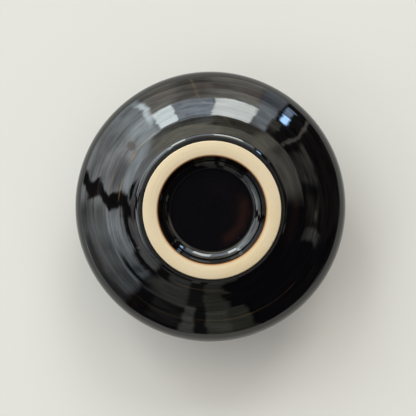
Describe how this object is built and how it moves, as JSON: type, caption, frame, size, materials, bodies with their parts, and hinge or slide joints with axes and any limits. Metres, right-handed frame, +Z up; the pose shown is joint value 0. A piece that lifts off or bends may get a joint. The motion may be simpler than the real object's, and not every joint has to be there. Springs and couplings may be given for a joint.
{
  "type": "round clay pot",
  "caption": "Squat round wheel-thrown clay pot, glossy near-black glaze, narrow rolled mouth and bare cream foot ring; modelled resting on its mouth.",
  "frame": {"origin": "centre of the pot's axis on the plane that the lip stands on, with the pot lying on its mouth", "axes": "+Z up along the pot's axis from the mouth towards the foot ring; in use the pot is turned over about X, so that it stands on the foot ring; X and Y are free, because the pot is round"},
  "size_m": [0.151, 0.151, 0.0696],
  "materials": {
    "clay": "bare cream stoneware, matt, fine turning lines",
    "glaze": "glossy near-black iron glaze with a faint brown cast",
    "lip_glaze": "the same glaze, thin over the lip, where it breaks dark rust brown"
  },
  "bodies": {
    "root": {"thrown_body": "clay", "foot_ring": "clay", "outer_glaze": "glaze", "lip_glaze": "lip_glaze", "inner_glaze": "glaze", "foot_well_glaze": "glaze"}
  },
  "joints": []
}
